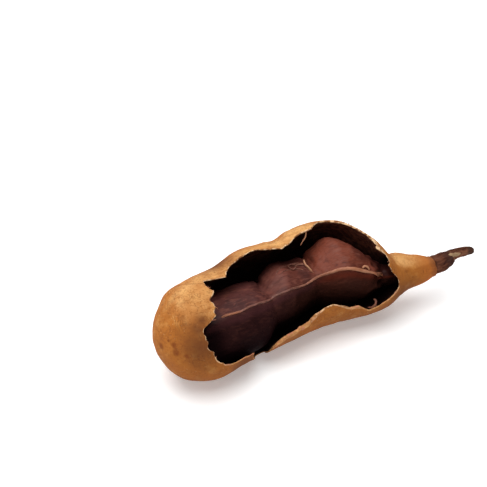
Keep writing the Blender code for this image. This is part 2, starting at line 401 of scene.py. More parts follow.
def colour(red, green, blue):
    return (red, green, blue, 1.0)


# %% [markdown]
# ## The shell's broken window
#
# A hole could be cut with a Boolean, but the cut would leave long thin faces just
# where the eye looks.  Instead the shell is a sheet that starts at the window's edge
# and closes round the back.  Each direction from the pod's inside stands for a place
# on the form.  Seen from the window's middle, the edge is a ring of turns and angles,
# and every ring behind it opens out a little more until the last one meets in a point
# on the far side.  The edge's large teeth fade out behind it with the cube of the way,
# its fine splinters much sooner.

# %% The window's edge
WINDOW_MIDDLE = (6.0, 136)      # along X (mm), degrees round
WINDOW_EDGE = [
    (-27.3, 76), (-26.6, 98), (-28.4, 105), (-27.9, 116), (-29.0, 124), (-30.8, 130),
    (-32.7, 135), (-32.5, 146), (-32.5, 159), (-31.2, 170), (-29.1, 183),
    (-25.3, 193), (-22.2, 193), (-19.0, 194), (-17.0, 223), (-16.2, 233), (-15.0, 236),
    (-12.8, 234), (-12.9, 209), (-11.9, 201), (-9.2, 198), (-8.6, 196), (-5.2, 195),
    (-4.6, 191), (-1.4, 191), (-0.9, 187), (1.2, 180),
    (3.2, 175), (6.0, 174), (8.8, 181), (11.5, 189), (14.1, 189), (17.3, 201),
    (20.3, 195), (22.9, 188), (25.1, 176), (25.8, 150), (24.6, 142), (23.8, 134),
    (24.3, 118), (23.7, 111), (23.2, 102), (23.1, 86), (22.0, 68), (18.7, 59), (14.8, 58),
    (11.8, 59), (7.8, 75), (5.0, 74), (1.0, 80), (-2.7, 82), (-9.7, 72),
    (-13.4, 75), (-17.9, 75), (-21.3, 87),
]


def direction(form, x, degrees):
    """The unit direction that stands for a place: its share becomes the tilt from -X,
    from 0 to half a turn, and its turn stays the turn round X."""
    tilt, turn = form.share_at(x) * np.pi, np.radians(degrees)
    return np.stack([-np.cos(tilt), np.sin(tilt) * np.cos(turn),
                     np.sin(tilt) * np.sin(turn)], -1)


window = direction(shell_form, *WINDOW_MIDDLE)
ahead = unit(np.cross(np.cross([1, 0, 0], window), -window))
aside = np.cross(window, ahead)
edge_ways = direction(shell_form, *np.array(WINDOW_EDGE).T)
edge_turns = np.arctan2(edge_ways @ aside, edge_ways @ ahead) % (2 * np.pi)
order = np.argsort(edge_turns)
edge_turns = np.append(edge_turns[order], edge_turns[order[0]] + 2 * np.pi)
edge_angles = np.append(np.arccos(edge_ways @ window)[order],
                        np.arccos(edge_ways[order[0]] @ window))
mean_angle = edge_angles[:-1].mean()
print("the window opens %.0f to %.0f degrees round its middle"
      % tuple(np.degrees([edge_angles.min(), edge_angles.max()])))

# %% Rings from the edge to the back
COLUMNS, OUTER_ROWS, INNER_ROWS = 520, 148, 28
TOOTH_FADE, SPLINTER_FADE = 3, 60


def toward(ways):
    """The share and turn that directions stand for, undoing direction()."""
    share = np.arccos(np.clip(-ways[..., 0], -1, 1)) / np.pi
    return share, np.arctan2(ways[..., 2], ways[..., 1])


def sheet_places(back, splinters):
    """Shares and turns for rows that go back from the edge (0) to the far point (1).

    Formula: the angle from the window's middle is the mean edge angle plus the way
    back to half a turn, plus the tooth times (1 - back) cubed, plus the splinter times
    e to the power of -60 back."""
    teeth = np.interp(column_turns, edge_turns, edge_angles) - mean_angle
    back = back[:, None]
    angle = (mean_angle + (np.pi - mean_angle) * back + teeth * (1 - back) ** TOOTH_FADE
             + splinters * np.exp(-SPLINTER_FADE * back))[..., None]
    flat = (ahead * np.cos(column_turns)[:, None] + aside * np.sin(column_turns)[:, None])
    return toward(window * np.cos(angle) + flat * np.sin(angle))


edge_steps = np.hypot(np.diff(edge_turns), 1.5 * np.abs(np.diff(edge_angles)))
edge_reach = np.concatenate([[0], np.cumsum(edge_steps)])
column_turns = np.interp(np.arange(COLUMNS) / COLUMNS * edge_reach[-1],
                         edge_reach, edge_turns)
edge_share, edge_turn = sheet_places(np.zeros(1), 0.0)
edge_line = shell_form.point(edge_share, edge_turn)[0]
splinters = (0.0100 * soft_noise(edge_line, 3.2, 25, 1) + 0.0100 * soft_noise(edge_line, 1.7, 21)
             + 0.0075 * soft_noise(edge_line, 0.8, 22))
print("edge length, mm: %.0f" % np.linalg.norm(np.diff(edge_line, axis=0), axis=1).sum())

# %% [markdown]
# ## The shell's skin, its torn edge and its inside
#
# The outer skin is the form plus a low relief: broad swellings, dents, a fine crumb,
# wrinkles that run round the lobes and ribs that run along the neck.  The inside is
# the form of the hollow, one wall thickness smaller, and it ends in a dome before the
# neck, which is solid.  Between the two lies the torn edge, a few rows of its own with
# a rough, crumbled face.
#
# The shell did not break square everywhere.  On the thick part, far up at the right,
# and along the front band the outside has broken away further back than the inside, so
# a broad slanting face of fibre shows there.  Elsewhere the wall flakes thin instead.

# %% The shell's relief
def shell_relief(spots):
    """How far the skin stands out, in millimetres.

    Formula: noise at 9, 3.4 and 1.3 mm; noise drawn out round the girth, kept to
    patches; and on the neck, noise drawn out along it."""
    swell = 0.20 * soft_noise(spots, 9.0, 31) + 0.10 * soft_noise(spots, 3.4, 32)
    crumb = 0.035 * soft_noise(spots, 1.3, 33)
    patches = ease(0.0, 0.6, soft_noise(spots, 8.0, 34, 1))
    wrinkles = 0.07 * patches * soft_noise(spots * [3.5, 1, 1], 3.4, 35)
    neck = ease(18.0, 26.0, spots[..., 0])
    ribs = 0.13 * neck * soft_noise(spots * [0.22, 1, 1], 1.5, 36, 1)
    return swell * (1 - 0.5 * neck) + crumb + wrinkles + ribs


def middle_line(spots):
    """Points of a line through the pod's inside, each as far along X as its spot."""
    return spots * [1, 0, 0] + [0.0, -2.0, 12.5]


def on_floor(spots):
    """The spots, none of them below the surface that the pod lies on."""
    return np.stack([spots[..., 0], spots[..., 1], np.maximum(spots[..., 2], 0.0)], -1)


outer_share, outer_turn = sheet_places(np.linspace(0, 1, OUTER_ROWS + 1)[:-1] ** 1.2,
                                       splinters)
outer_base = shell_form.point(outer_share, outer_turn)
axis_line = middle_line(outer_base)
outer = outer_base + (grid_normals(outer_base, outer_base - axis_line)
                      * shell_relief(outer_base)[..., None])
outer = on_floor(outer)
far_share, far_turn = toward(-window)
outer_tip = shell_form.point(far_share, far_turn)

# %% The hollow and the torn edge
HOLLOW_START, HOLLOW_END = -42.0, 34.0      # where the hollow closes, along X
HOLLOW_TABLE = slice(2, 15)     # the shell's rows that lie between those two
hollow_rows = np.array(SHELL_STATIONS[HOLLOW_TABLE]) - [0, WALL, WALL, 0, 0]
hollow_rows = np.vstack([(HOLLOW_START, 0, 0, -4.2, 13.5), hollow_rows,
                         (HOLLOW_END, 0, 0, -0.4, 11.4)])
hollow_form = LongForm(hollow_rows, lowest=WALL)
hollow_form.shift = SHIFT
print("the hollow is %.1f mm long" % (hollow_form.along[-1] - hollow_form.along[0]))


def hollow_share(share):
    """The hollow's share for a share of the shell: the same X, drawn in at both ends."""
    x = np.interp(shell_form.x_at(share), [-43.0, -38.0, 26.0, 40.3],
                  [HOLLOW_START, -38.0, 26.0, HOLLOW_END])
    return hollow_form.share_at(x)


EDGE_THINNING = 0.50            # how much of the wall has flaked off at the torn edge
edge_x, edge_y, edge_z = edge_line.T
thick_part = ease(6.0, 13.0, edge_x) * ease(14.0, 20.0, edge_z) * ease(-5.5, -2.5, edge_y)
inner_splinters = splinters + 0.0045 * soft_noise(edge_line, 1.1, 23)
inner_splinters = inner_splinters - thick_part * (0.050 + 0.030 * soft_noise(edge_line, 1.3, 24))
front_band = (ease(-19.0, -16.0, edge_x) * ease(13.0, 9.0, edge_x)
              * (0.65 + 0.35 * ease(1.0, -4.0, edge_x)) * ease(14.0, 12.0, edge_z))
inner_splinters = inner_splinters - front_band * (0.034 + 0.024 * soft_noise(edge_line, 1.8, 26))
inner_back = np.linspace(0, 1, INNER_ROWS + 1)[:-1] ** 1.3
inner_share, inner_turn = sheet_places(inner_back, inner_splinters)
inner = hollow_form.point(hollow_share(inner_share), inner_turn)
thinner = 0.08 * (1 + soft_noise(inner, 4.0, 41)) + 0.03 * (1 + soft_noise(inner, 1.2, 42))
thinner = thinner + 0.14 * (1 - np.abs(soft_noise(inner * [0.3, 1, 1], 1.8, 46)))
front_part = np.maximum(front_band, ease(-15.0, -9.0, edge_x) * ease(8.0, 4.0, edge_z))
flaked = EDGE_THINNING * (1 - 0.9 * np.maximum(thick_part, front_part))
thinner = thinner + flaked * np.exp(-np.linalg.norm(inner - inner[0], axis=-1) / 2.5)
inner = inner + grid_normals(inner, inner - middle_line(inner)) * thinner[..., None]
inner_tip = hollow_form.point(hollow_share(far_share), far_turn)

across_edge = np.array([0.12, 0.35, 0.6, 0.85])[:, None, None]
open_side = unit(outer[0] - outer[4])
bulge = 0.10 * np.sin(np.pi * across_edge) * (1 + 0.8 * soft_noise(edge_line, 0.6, 43)[:, None])
torn = outer[0] * (1 - across_edge) + inner[0] * across_edge + open_side * bulge
torn = torn + 0.07 * soft_noise(torn, 0.45, 44)[..., None] * open_side

# %% [markdown]
# Layers of numbers go with the mesh, so that the finish knows where it is: *torn* is 1
# on the torn edge, *inside* is 1 in the hollow, *upward* is 1 where the skin faces up,
# *scar* marks small brown scars, and *stain* marks broad darker patches: dark patches of
# the skin and, low on the front below the window, painted shade.

# %% Put the shell together
SCARS = [                       # X, degrees, radius
    (-42.4, 144, 0.95), (-40.2, 143, 0.85), (-40.1, 157, 1.10), (-38.0, 164, 0.65),
    (-41.0, 132, 0.45), (-13.0, 30, 0.8), (9.0, 262, 0.9), (14.0, 8, 0.7),
    (-26.0, 300, 0.8),
]
# Broad darker patches of the skin; the two low on the front, below the window, are painted shade.
STAINS_AND_SHADE = [                      # X, degrees, radius
    (-34.2, 156, 5.5), (-32.4, 126, 2.1), (-33.9, 134, 2.3), (-22.0, 205, 4.5),
    (27.0, 210, 5.0), (-3.0, 322, 7.0), (-20.0, 50, 5.0), (9.0, 15, 6.0),
    (21.0, 345, 4.0),
]


def marks(table, wander):
    """How strongly the outer skin is marked, 1 in the middle of each mark.

    Formula: e to the power of minus the square of the distance over the radius, times
    wander, and the strongest mark where two of them meet."""
    found = np.zeros(outer_base.shape[:2])
    for x, degrees, radius in table:
        middle = shell_form.point(shell_form.share_at(x), np.radians(degrees))
        away = np.linalg.norm(outer_base - middle, axis=-1) / radius
        found = np.maximum(found, np.exp(-(away * wander) ** 2))
    return found


scar = marks(SCARS, 1.0)
stain = marks(STAINS_AND_SHADE, 1 + 0.3 * soft_noise(outer_base, 3.0, 45))
# How far the torn fibre shows on the outer skin: most along the front band.
torn_reach = (0.20 + 0.22 * ease(14.0, 18.0, edge_x)
              + front_band * (0.75 + 0.55 * soft_noise(edge_line, 2.0, 27)))
torn_outside = np.exp(-(np.linalg.norm(outer - outer[0], axis=-1) / torn_reach) ** 2)
torn_inside = np.exp(-(np.linalg.norm(inner - inner[0], axis=-1) / 0.5) ** 2)
outer = outer - 0.12 * (scar * np.exp(-3 * (1 - scar)))[..., None] * unit(outer - axis_line)

# How much the skin faces up, which the finish uses to paint light and shade.
upward = 0.5 + 0.5 * grid_normals(outer_base, outer_base - axis_line)[..., 2]
shell_rows = np.concatenate([outer[::-1], torn, inner])
no_torn, no_inner = np.zeros(torn.shape[:2]), np.zeros(inner.shape[:2])
flat_rows = {"torn": [torn_outside[::-1], no_torn + 1, torn_inside],
             "inside": [np.zeros(outer.shape[:2]), no_torn + 0.3, no_inner + 1],
             "scar": [scar[::-1], no_torn, no_inner],
             "stain": [stain[::-1], no_torn, no_inner],
             "upward": [upward[::-1], upward[:1].repeat(len(torn), 0), no_inner]}
shell_layers = {name: np.append(np.concatenate(parts).ravel(), (0.0, name == "inside"))
                for name, parts in flat_rows.items()}
shell_mesh = closed_mesh("pod_shell", [(shell_rows, [outer_tip, inner_tip])], shell_layers)

# %% [markdown]
# ## The shell's finish
#
# Tamarind shell is scurfy: a brown skin under a dry, sandy bloom that rubs off in
# patches.  Pale grains sit on it, and pores and small scars show darker.  Painted light
# and shade make the skin paler where it faces up and deeper orange low down, with less
# bloom there.  The torn edge shows pale fibre, and the inside is nearly black low in the
# hollow, partly from staining by the pulp and partly as painted shade.

# %% Scurfy shell
def scurfy_shell():
    paint = Paint("scurfy_shell")
    torn_mask, inside, scar_mask = (paint.layer(name) for name in ("torn", "inside", "scar"))
    height = paint.part("Z")
    broad = paint.noise(11.0, 1)
    middling = paint.noise(2.8, 2, 3.0)
    fine = paint.noise(0.55, 3, 3.0)
    grains = paint.range(paint.cells(0.62, 4), 0.34, 0.12)
    grain_patches = paint.range(paint.noise(3.0, 5, 3.0), 0.42, 0.62)
    pores = paint.range(paint.cells(2.1, 6), 0.16, 0.07)
    wander = paint.noise(1.5, 7, 2.0, (1.0, 1.5, 1.5), 1.0)
    wrinkles = paint.range(wander, 0.455, 0.50) * paint.range(wander, 0.545, 0.50)
    lengthwise = paint.noise(1.4, 10, 3.0, (7.0, 1.0, 1.0))

    # Painted light and shade: the skin is paler where it faces up, deeper orange as it turns down
    # and darker still low down, where the pale bloom thins too.
    faces = paint.layer("upward") + (broad - 0.5) * 0.10 + (middling - 0.5) * 0.08
    shade_turned_down = paint.range(faces, 0.98, 0.84)
    low_down = paint.range(faces, 0.62, 0.20)
    bloom = paint.range(middling, 0.50, 0.70) * (1 - low_down * 0.6)
    neck = paint.range(paint.part("X"), 17.0, 23.0)
    along = paint.part("X") + (middling - 0.5) * 3.0
    skin = paint.blend(shade_turned_down, colour(0.640, 0.340, 0.122), colour(0.395, 0.137, 0.024))
    skin = paint.coats(
        skin,
        (low_down * 0.9, 0.215, 0.070, 0.016),
        (paint.range(broad, 0.60, 0.40) * 0.4, 0.39, 0.126, 0.020),
        (paint.range(middling, 0.56, 0.38) * 0.40, 0.33, 0.102, 0.018),
        (bloom * 0.30, 0.60, 0.320, 0.100),
        (grains * grain_patches * (0.50 - neck * 0.34), 0.70, 0.42, 0.165),
        (paint.range(lengthwise, 0.46, 0.30) * 0.45, 0.27, 0.080, 0.016),
        (paint.range(fine, 0.48, 0.36) * (0.42 - neck * 0.24), 0.20, 0.060, 0.011),
        (wrinkles * grain_patches * 0.45, 0.22, 0.066, 0.013),
        (pores * 0.55, 0.14, 0.040, 0.009),
        # dark patches of the skin, and painted shade below the window
        (paint.layer("stain") * (0.66 + broad * 0.4), 0.13, 0.040, 0.012),
        (paint.range(scar_mask, 0.10, 0.80) * 0.75, 0.17, 0.040, 0.008),
        (paint.range(along, 27.0, 32.5) * 0.7, 0.40, 0.118, 0.022),
        (paint.range(along, 31.8, 34.4) * 0.60, 0.125, 0.036, 0.018))

    streaks = paint.noise(1.2, 8, 3.0, (2.5, 0.8, 0.8))
    lining = paint.blend(paint.range(streaks, 0.40, 0.66), colour(0.125, 0.035, 0.024),
                         colour(0.300, 0.100, 0.058))
    # Nearly black low in the hollow, browner higher up: partly staining by the pulp, partly
    # painted shade.
    staining_and_shade = paint.range(height + (middling - 0.5) * 6.0, 19.0, 11.0)
    lining = paint.blend(staining_and_shade, lining, colour(0.016, 0.005, 0.004))
    low_fibre = paint.blend(paint.range(paint.noise(1.8, 40), 0.50, 0.60),
                            colour(0.54, 0.270, 0.100), colour(0.50, 0.185, 0.105))
    pale_fibre = paint.blend(paint.range(height, 10.0, 16.0), low_fibre,
                             colour(0.72, 0.480, 0.270))
    dark_fibre = paint.blend(paint.range(height, 10.0, 16.0), colour(0.40, 0.180, 0.066),
                             colour(0.25, 0.098, 0.036))
    fibre = paint.blend(paint.range(paint.noise(1.0, 9, 3.0), 0.42, 0.58), dark_fibre,
                        pale_fibre)
    surface = paint.blend(paint.range(inside, 0.55, 0.9), skin, lining)
    surface = paint.blend(paint.range(torn_mask, 0.35, 0.8), surface, fibre)

    relief = (grains * grain_patches * 0.05 + fine * 0.10 + middling * 0.10
              + lengthwise * 0.10 - wrinkles * grain_patches * 0.10 - pores * 0.07)
    roughness = 0.80 - paint.range(inside, 0.6, 1.0) * 0.22 + fine * 0.1
    return paint.finish(surface, roughness, relief, Specular_IOR_Level=0.12)


add_piece("pod_shell", shell_mesh, scurfy_shell(), "scurfy_shell", "shell")

# %% [markdown]
# ## The strings' routes
#
# Tough strings run along every tamarind pod between shell and pulp.  Their routes are
# needed before the pulp is made, because the pulp stands up a little under each
# string, where the string has been pulling on it.

# %% The pulp's table and the routes
PULP_STATIONS = [
    (-37.5, 0.0, 0.0, -4.6, 10.0), (-35.5, 5.2, 4.7, -4.0, 9.9),
    (-31.0, 8.8, 7.9, -3.0, 10.1), (-25.0, 10.3, 8.8, -1.7, 10.4),
    (-18.5, 10.3, 8.7, -0.5, 10.7), (-13.6, 9.7, 8.4, 0.4, 10.6),
    (-11.2, 8.7, 7.8, 1.3, 10.3), (-9.0, 7.9, 7.3, 2.7, 10.2),
    (-4.0, 9.0, 8.2, 4.6, 11.2), (1.0, 8.0, 7.2, 5.8, 11.2),
    (4.0, 7.4, 6.9, 6.5, 11.2), (6.0, 7.2, 6.8, 6.8, 11.2),
    (8.5, 8.4, 8.0, 6.9, 11.6), (13.5, 10.0, 9.7, 6.4, 12.3),
    (19.0, 7.9, 7.6, 4.4, 12.0), (24.0, 4.1, 3.9, 1.9, 11.5),
    (28.5, 2.6, 2.6, 0.0, 11.4), (33.0, 1.5, 1.5, -0.4, 11.3),
    (34.0, 0.0, 0.0, -0.4, 11.3),
]
RIDGE_ROUTE = [(-28.0, 115), (-25.3, 115), (-20.2, 119), (-15.9, 118), (-11.7, 120),
               (-8.1, 126), (-4.1, 132), (-0.9, 135), (2.9, 136), (6.1, 134), (10.6, 136),
               (15.1, 139), (19.5, 143), (24.3, 147), (28.5, 140)]
BACK_ROUTE = [(-5.5, 92), (-3.6, 86), (-1.5, 83), (0.7, 80), (2.5, 86), (3.6, 94),
              (4.0, 104), (4.4, 114), (5.2, 122)]
SIDE_ROUTE = [(-4.2, 98), (-2.0, 95), (0.0, 96), (1.8, 100), (2.8, 107)]
pulp_form = LongForm(PULP_STATIONS)
pulp_form.shift = SHIFT


def smooth_line(knots, count):
    """Evenly counted points on the smooth curve through the knots, which goes straight
    on past its ends."""
    knots = np.array(knots, float)
    padded = np.vstack([2 * knots[0] - knots[1], knots, 2 * knots[-1] - knots[-2]])
    return curve_through(padded, np.linspace(0, len(knots) - 1, count))


def route_places(route, count):
    """Shares and turns along a route over the pulp."""
    x, degrees = smooth_line(route, count).T
    return pulp_form.share_at(x), np.radians(degrees)


for name, route in (("ridge", RIDGE_ROUTE), ("back", BACK_ROUTE), ("side", SIDE_ROUTE)):
    line = pulp_form.point(*route_places(route, 200))
    print(name, "string: %.1f mm" % np.linalg.norm(np.diff(line, axis=0), axis=1).sum())

# %% [markdown]
# ## The pulp
#
# The pulp is a sticky paste in a thin wet skin, drawn tight over three seeds.  Its
# form is the second table.  The relief adds slack lumps, wrinkles in the skin, a berm
# under each string and a sharp fold between the lobes.  It is kept low underneath,
# where the pulp lies close to the shell.
#
# Three layers go with it for the finish: *front* is 1 on the side that falls away from the
# ridge string to -Y, *rear* is 1 on the far side away from the top, both of which the
# finish paints in shade, and *under_string* is 1 in a narrow band just in front of the
# ridge string.

# %% The pulp's relief
FOLDS = [(-9.6, 0.0, 1.0), (5.9, 0.0, 0.9)]     # X, slant per turn, depth
PITS = [(20.6, 203, 1.3, 1.3), (23.2, 178, 0.9, 0.9), (17.6, 214, 1.0, 0.8),
        (24.6, 205, 0.9, 0.7), (22.0, 120, 0.8, 0.5)]     # X, degrees, radius, depth
WEBS = [(-9.0, 2.60, 1.1, 4.2), (4.6, 2.60, 0.5, 3.0)]   # X, turn, height, reach


def nearest(spots, line):
    """Distance from each spot to the nearest point of a line, from the expanded square
    of the difference, so that all pairs are one matrix product."""
    flat = spots.reshape(-1, 3)
    square = ((flat ** 2).sum(1)[:, None] - 2 * flat @ line.T + (line ** 2).sum(1))
    return np.sqrt(np.maximum(square.min(1), 0)).reshape(spots.shape[:-1])


def pulp_surface(share, turn):
    """Points of the finished pulp and the form's normals there.

    Formula: the form plus, along its normal, lumps of 5 mm, creased wrinkles (one less
    the size of the noise) of 2 mm, bell-shaped berms under the strings, bell-shaped
    grooves at the folds, webs of skin that bridge the folds in front, larger lumps on
    the tail, and pits there with a raised rim."""
    base, normal = pulp_form.point(share, turn), pulp_form.normal(share, turn)
    relief = 0.30 * soft_noise(base, 5.0, 51)
    creased = 1 - np.abs(soft_noise(base * [1, 1.4, 1.4], 2.4, 52))
    relief = relief + 0.12 * (creased ** 3 - 0.4)
    for route, rise, width in ((RIDGE_ROUTE, 0.45, 1.6), (BACK_ROUTE, 0.10, 0.6),
                               (SIDE_ROUTE, 0.08, 0.5)):
        line = pulp_form.point(*route_places(route, 160))
        relief = relief + rise * np.exp(-(nearest(base, line) / width) ** 2)
    x = base[..., 0] + SHIFT[0]
    for middle, slant, depth in FOLDS:
        off = x - middle - slant * (turn - np.pi / 2) + 0.5 * soft_noise(base, 4.0, 53, 1)
        upper_side = 1 - ease(1.6, 2.1, turn % (2 * np.pi))
        relief = relief - depth * upper_side * np.exp(-(off / 0.75) ** 2)
    for middle, middle_turn, height, reach in WEBS:
        off = ((x - middle) / reach) ** 2 + ((turn % (2 * np.pi) - middle_turn) / 0.55) ** 2
        relief = relief + height * np.exp(-off)
    tail = ease(18.0, 22.5, x)
    relief = relief + 0.60 * tail * soft_noise(base, 2.3, 54, 2)
    for pit_x, degrees, radius, depth in PITS:
        middle = pulp_form.point(pulp_form.share_at(pit_x), np.radians(degrees))
        away = np.linalg.norm(base - middle, axis=-1) / radius
        relief = relief - depth * (np.exp(-away ** 2) - 0.5 * np.exp(-((away - 1.7) / 0.6) ** 2))
    relief = relief * (0.25 + 0.75 * ease(-0.5, 0.2, normal[..., 2]))
    return base + normal * relief[..., None], normal


PULP_AROUND, PULP_ALONG = 330, 280
pulp_shares = np.linspace(0, 1, PULP_ALONG + 2)[1:-1, None]
pulp_turns = (np.arange(PULP_AROUND) / PULP_AROUND * 2 * np.pi - np.pi / 2)[None, :]
pulp_shares, pulp_turns = np.broadcast_arrays(pulp_shares, pulp_turns)
pulp_rows, _ = pulp_surface(pulp_shares, pulp_turns)
pulp_tips = [pulp_form.point(np.array(end), np.array(0.0)) for end in (0.0, 1.0)]
string_turn = np.interp(pulp_form.x_at(pulp_shares), *np.array(RIDGE_ROUTE).T)
turn_degrees = np.degrees(pulp_turns % (2 * np.pi))
# The front flank below the ridge string, which the finish paints in shade.
front = ease(-4.0, 10.0, turn_degrees - string_turn) * ease(300.0, 260.0, turn_degrees)
# The far side away from the top, which the finish paints in shade, less so to the right.
rear = ease(88.0, 50.0, (np.degrees(pulp_turns) + 90) % 360 - 90)
rear = rear * (1 - 0.7 * ease(0.0, 5.0, pulp_rows[..., 0] + SHIFT[0]))
under = np.exp(-((turn_degrees - string_turn - 9.0) / 6.0) ** 2)
pulp_mesh = closed_mesh("pulp_body", [(pulp_rows, pulp_tips)],
                        {name: np.append(values.ravel(), (0.0, 0.0)) for name, values in
                         (("front", front), ("rear", rear), ("under_string", under))})

# %% [markdown]
# ## The pulp's finish
#
# The paste is a dark red brown, with painted light on the tops of the seeds and painted
# shade, down to near black, on the front flank, the far side, the tail and in the skin's creases.
# It is wet in places and dull in others, so the roughness wanders too.

# %% Sticky pulp
def sticky_pulp():
    paint = Paint("sticky_pulp")
    broad = paint.noise(8.0, 11)
    middling = paint.noise(2.2, 12, 3.0)
    veins = paint.noise(0.9, 13, 3.0, (3.5, 0.9, 0.9), 1.0)
    wander = paint.noise(2.2, 15, 2.0, (3.5, 1.0, 1.0), 0.6)
    fine = paint.noise(0.4, 14, 3.0)
    along, uneven, front = paint.part("X"), (broad - 0.5) * 3.0, paint.layer("front")
    # How much painted light falls on the pulp: more the higher it lies, less on the front flank
    # and the far side, none at the left end under the painted shadow of the shell's end, and
    # little on the tail where the shell closes in.
    upward = (paint.range(paint.part("Z") + uneven, 9.0, 19.5)
              * (1 - front * 0.80) * (1 - paint.layer("rear") * 0.85)
              * paint.range(along + uneven, -34.5, -30.0)
              * (0.25 + paint.range(along + uneven, 19.0, 15.5) * 0.75))

    # Broad patches in which the tops take more or less of the painted light.
    light_patches = paint.range(broad + (middling - 0.5) * 0.2, 0.32, 0.60) * 0.6 + 0.4
    # Painted shade on the front flank: near black at the left, a little lighter to the right.
    flank = paint.blend(paint.range(along, -14.0, -4.0),
                        colour(0.0068, 0.0022, 0.0028), colour(0.026, 0.0085, 0.0060))
    paste = paint.blend(front, colour(0.020, 0.0050, 0.0050), flank)
    lit_tops = paint.coats(             # painted light on the tops of the seeds, its tint changing along X
        colour(0.120, 0.033, 0.023),
        (paint.range(along, -2.0, 1.0), 0.175, 0.043, 0.024),
        (paint.range(along, -6.5, -9.5), 0.235, 0.075, 0.055),
        (paint.range(along, -13.5, -17.0), 0.110, 0.035, 0.030))
    paste = paint.blend(light_patches * upward, paste, lit_tops)
    # The skin's light veins show only under the painted light, and the dark veins show more
    # there.
    paste = paint.coats(
        paste,
        (paint.range(veins, 0.50, 0.66) * upward * 0.60, 0.175, 0.060, 0.041),
        (paint.range(veins, 0.46, 0.30) * (0.10 + upward * 0.40), 0.030, 0.008, 0.007))
    below = paint.blend(paint.range(along, -4.0, 4.0),
                        colour(0.060, 0.019, 0.020), colour(0.110, 0.018, 0.009))
    paste = paint.blend(paint.layer("under_string") * (0.35 + middling * 0.4), paste, below)
    # Painted shade in the creases of the skin, on the lit tops.
    creases = paint.range(wander, 0.46, 0.50) * paint.range(wander, 0.54, 0.50)
    paste = paint.coats(paste, (creases * upward * 0.14, 0.022, 0.006, 0.005))
    relief = middling * 0.10 + veins * 0.10 + fine * 0.012 - creases * 0.05
    roughness = 0.50 + paint.range(middling, 0.40, 0.65) * 0.14 + fine * 0.06
    return paint.finish(paste, roughness, relief, Specular_IOR_Level=0.01,
                        Coat_Weight=(1 - front) * 0.20, Coat_Roughness=0.45)


add_piece("pulp_body", pulp_mesh, sticky_pulp(), "sticky_pulp", "pulp")

# %% [markdown]
# ## The strings
#
# A string is a flat bundle of fibres half sunk in the pulp's skin.  A curve with a
# bevel would be perfectly round, so each string is a tube of its own: its section is
# an oval with a few ribs that twist slowly along it, its width wanders, and it thins
# out to a frayed end.

# %% A ribbed tube along a line
def tube_rows(line, up, width, height, ribs=3, twist=0.5, seed=0, around=28):
    """Rows of points round a line.

    Formula: the line's point, plus half the width times the cosine of the turn
    sideways, plus half the height times its sine upwards, both times one plus a small
    ripple of that many ribs which turns as the length goes by, and a fine noise."""
    ahead_ = unit(np.gradient(line, axis=0))
    sideways = unit(np.cross(ahead_, up))
    upwards = np.cross(sideways, ahead_)
    turn = np.arange(around) / around * 2 * np.pi
    length = np.concatenate([[0], np.cumsum(np.linalg.norm(np.diff(line, axis=0), axis=1))])
    ripple = 1 + 0.10 * np.cos(ribs * turn + twist * length[:, None])
    across = (width / 2)[:, None] * ripple * np.cos(turn)
    above = (height / 2)[:, None] * ripple * np.sin(turn)
    rows = (line[:, None] + sideways[:, None] * across[..., None]
            + upwards[:, None] * above[..., None])
    rough = np.minimum(0.12 * height, 0.04)[:, None] * soft_noise(rows, 0.8, seed)
    return rows + unit(rows - line[:, None]) * rough[..., None]


# Two rows each: places along X, and there how pale a string is, or how much wider.
# The ridge string is paler towards both ends: partly its own colour, partly painted highlight at
# the right.
PALE_ALONG = [(-28.0, -21.0, -19.0, -14.0, -3.0, 6.0, 14.0),
              (0.9, 0.9, 0.2, 0.1, 0.1, 0.6, 1.0)]
WIDER_ALONG = [(-28.0, -20.0, -8.0, 4.0, 11.0, 20.0, 27.0),
               (0.8, 0.8, 0.75, 0.85, 1.20, 1.10, 0.9)]
DIVE = 0.7                      # how deep a string's far ends go under the pulp's skin


def string_mesh(name, route, width, height, sink, seed, count):
    """A string that lies on the finished pulp along a route, sunk by a share of its
    height, its width and height wandering by about a fifth and tapering at both ends.
    Near both ends of the pulp the paste has closed over it, so it dives under there."""
    share, turn = route_places(route, count)
    spots, up = pulp_surface(share, turn)
    at = spots[:, 0] + SHIFT[0]
    wander = (1 + 0.22 * soft_noise(spots, 4.0, seed)) * np.interp(at, *WIDER_ALONG)
    far = np.minimum(np.arange(count), np.arange(count)[::-1]) / count
    taper = 0.30 + 0.70 * ease(0.0, 0.08, far)
    high = height * wander * taper
    lift = high * (0.5 - sink) - DIVE * (ease(-24.5, -26.0, at) + ease(23.6, 25.2, at))
    line = spots + up * lift[:, None]
    sway = 0.07 * soft_noise(spots, 2.0, seed + 1)
    line = line + unit(np.cross(np.gradient(line, axis=0), up)) * sway[:, None]
    rows = tube_rows(line, up, width * wander * taper, high, seed=seed)
    pale = np.interp(rows[..., 0] + SHIFT[0], *PALE_ALONG)
    return closed_mesh(name, [(rows, [line[0], line[-1]])],
                       {"pale": np.append(pale.ravel(), (pale[0, 0], pale[-1, 0]))})


# %% String finish and the three strings
def tough_string():
    paint = Paint("tough_string")
    along = paint.noise(0.5, 21, 3.0, (4.0, 0.7, 0.7))
    patches = paint.noise(2.5, 22)
    fine = paint.noise(0.25, 23)
    pale = paint.layer("pale")
    strand = paint.blend(paint.range(along, 0.35, 0.65), colour(0.078, 0.026, 0.018),
                         colour(0.200, 0.082, 0.064))
    strand = paint.coats(
        strand,
        (pale * 0.65, 0.42, 0.150, 0.066),
        (paint.range(pale, 0.9, 1.5) * 0.8, 0.66, 0.40, 0.22),
        (paint.range(patches, 0.50, 0.68) * (0.10 + pale * 0.40), 0.46, 0.21, 0.120))
    relief = along * 0.12 + fine * 0.03
    return paint.finish(strand, 0.42 + patches * 0.2, relief, Specular_IOR_Level=0.30)


